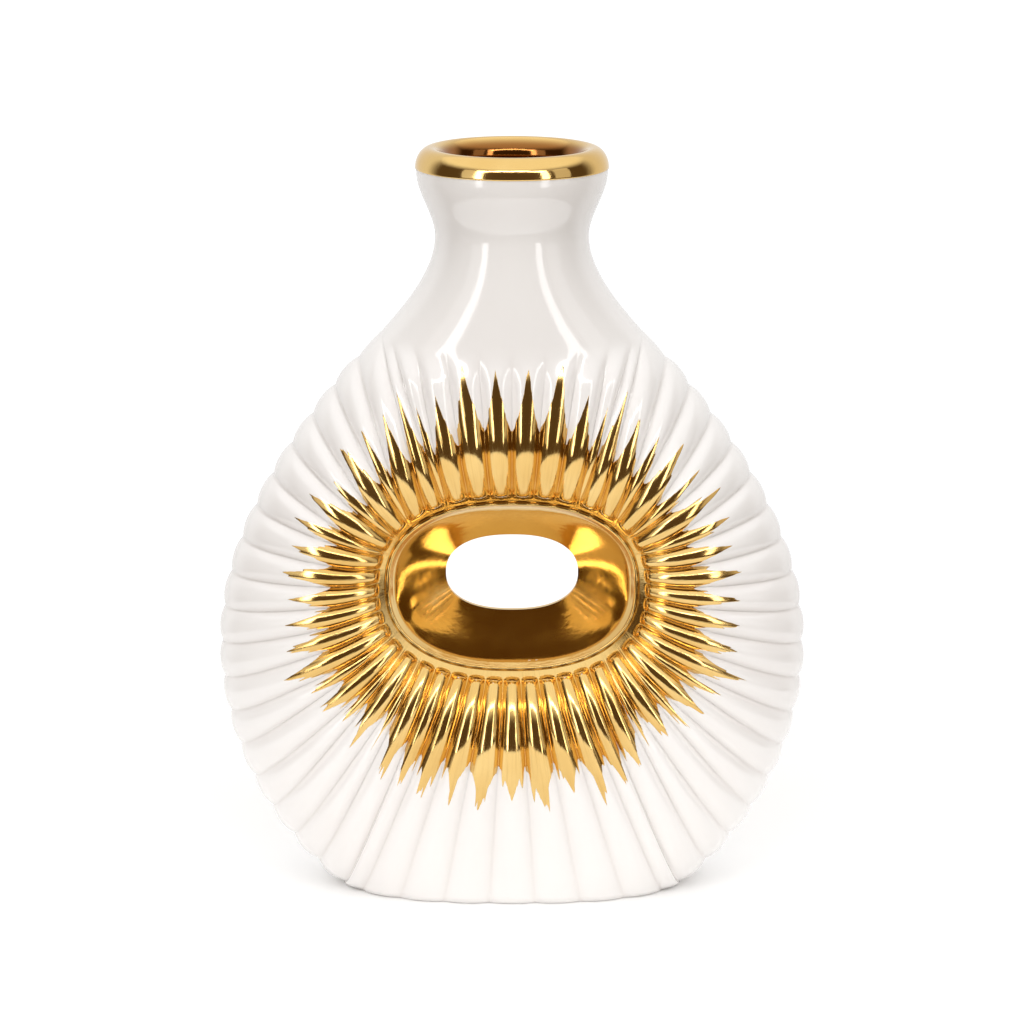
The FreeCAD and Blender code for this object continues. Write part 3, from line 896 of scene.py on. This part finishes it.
parts = ("foot", "right", "shoulder", "left")
panels = [side + "_" + part + "_panel" for side in ("front", "back") for part in parts]
settle(glazed_body, glaze, "white_glaze", *panels, "collar", "neck", "lip")
settle(inside_wall, glaze, "white_glaze")
settle(foot_ring, bare, "bare_porcelain")
settle(gold_crown_piece, even_gold, "gold_lustre", "gold_lip")
for side in ("front", "back"):
    settle(gold_rays[side], brushed_gold, "gold_lustre", side + "_gold_rays")
    settle(gold_eyes[side], even_gold, "gold_lustre", side + "_gold_eye")
    paint(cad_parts[side + "_eye_wall"], glaze)
paint(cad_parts["floor"], bare)

# %% [markdown]
# ## Studio
#
# Glossy white and gold show what stands round them. The vase stands on a round white table under a
# white sky of light, with a broad softbox on each side for the dish of the eye and three narrow strips
# for the bright lines on the flutes. The low side toward the camera is left a dim warm brown, so the
# gold has deep browns between its bright lines.

# %% Floor
def round_floor(name, radius, level, colour):
    turns = 2 * np.pi * np.arange(96) / 96
    rim = [(radius * math.cos(turn), radius * math.sin(turn), level) for turn in turns]
    mesh = bpy.data.meshes.new(name)
    mesh.from_pydata(rim, [], [tuple(range(96))])
    piece = bpy.data.objects.new(name, mesh)
    bpy.context.scene.collection.objects.link(piece)
    material, nodes, links, shader = new_material(name + "_paper")
    shader.inputs["Base Color"].default_value = (*colour, 1.0)
    shader.inputs["Roughness"].default_value = 0.9
    shader.inputs["Specular IOR Level"].default_value = 0.1
    shader.inputs["Emission Color"].default_value = (1.0, 1.0, 1.0, 1.0)
    shader.inputs["Emission Strength"].default_value = 0.07
    mesh.materials.append(material)
    return piece


round_floor("studio_floor", 0.34, -0.0002, (0.95, 0.95, 0.95))

# %% Lights
def softbox(name, place, size, power, target=(0, 0, 0.14)):
    light = bpy.data.lights.new(name, "AREA")
    light.shape = "RECTANGLE"
    light.size, light.size_y = size
    light.energy = power
    lamp = bpy.data.objects.new(name, light)
    lamp.location = place
    aim = np.array(target) - np.array(place)
    lamp.rotation_euler = Vector(aim).to_track_quat("-Z", "Y").to_euler()
    bpy.context.scene.collection.objects.link(lamp)
    return lamp


softbox("left_softbox", (-0.85, -0.75, 0.40), (0.50, 0.9), 1.0)
softbox("right_softbox", (0.95, -0.50, 0.40), (0.40, 0.9), 0.7)
softbox("left_strip", (-0.66, -0.80, 0.35), (0.17, 1.0), 2.3)
softbox("right_strip", (0.66, -0.80, 0.35), (0.17, 1.0), 2.1)
softbox("high_strip", (0.0, -0.75, 0.75), (1.2, 0.06), 1.8)

# %% Surroundings
world = bpy.data.worlds.new("studio")
bpy.context.scene.world = world
world.use_nodes = True
nodes = world.node_tree.nodes
links = world.node_tree.links
background = nodes["Background"]
dim_brown = (0.09, 0.06, 0.032)
studio_white = (1.0, 1.0, 1.0)
split = nodes.new("ShaderNodeSeparateXYZ")
links.new(nodes.new("ShaderNodeTexCoord").outputs["Generated"], split.inputs[0])


def glow(axis, start, end, strength):
    ramp = nodes.new("ShaderNodeMapRange")
    ramp.interpolation_type = "SMOOTHSTEP"
    ramp.inputs["From Min"].default_value = start
    ramp.inputs["From Max"].default_value = end
    ramp.inputs["To Max"].default_value = strength
    links.new(split.outputs[axis], ramp.inputs["Value"])
    return ramp.outputs["Result"]


def brighter(first, second):
    pick = nodes.new("ShaderNodeMath")
    pick.operation = "MAXIMUM"
    links.new(first, pick.inputs[0])
    links.new(second, pick.inputs[1])
    return pick.outputs[0]


lit = brighter(glow("Z", 0.42, 0.72, 1.0), glow("Y", 0.10, 0.55, 0.75))
room = blend_colours(nodes, links, lit, dim_brown, studio_white)
seen = nodes.new("ShaderNodeLightPath").outputs["Is Camera Ray"]
links.new(blend_colours(nodes, links, seen, room, studio_white), background.inputs["Color"])
background.inputs["Strength"].default_value = 1.17
bpy.context.scene.view_settings.view_transform = "Standard"

# %% [markdown]
# ## Camera
#
# A long lens a little above the vase keeps its outline true and shows the mouth as a narrow oval.

# %% Camera
camera_data = bpy.data.cameras.new("camera")
camera_data.sensor_width = 36
camera_data.lens = 135.4
camera_data.shift_y = 0.0128
camera = bpy.data.objects.new("camera", camera_data)
bpy.context.scene.collection.objects.link(camera)
eye_point = Vector((0, -1.400, 0.470))
aim_point = Vector((0, 0, 0.138))
camera.location = eye_point
camera.rotation_euler = (aim_point - eye_point).to_track_quat("-Z", "Y").to_euler()
bpy.context.scene.camera = camera
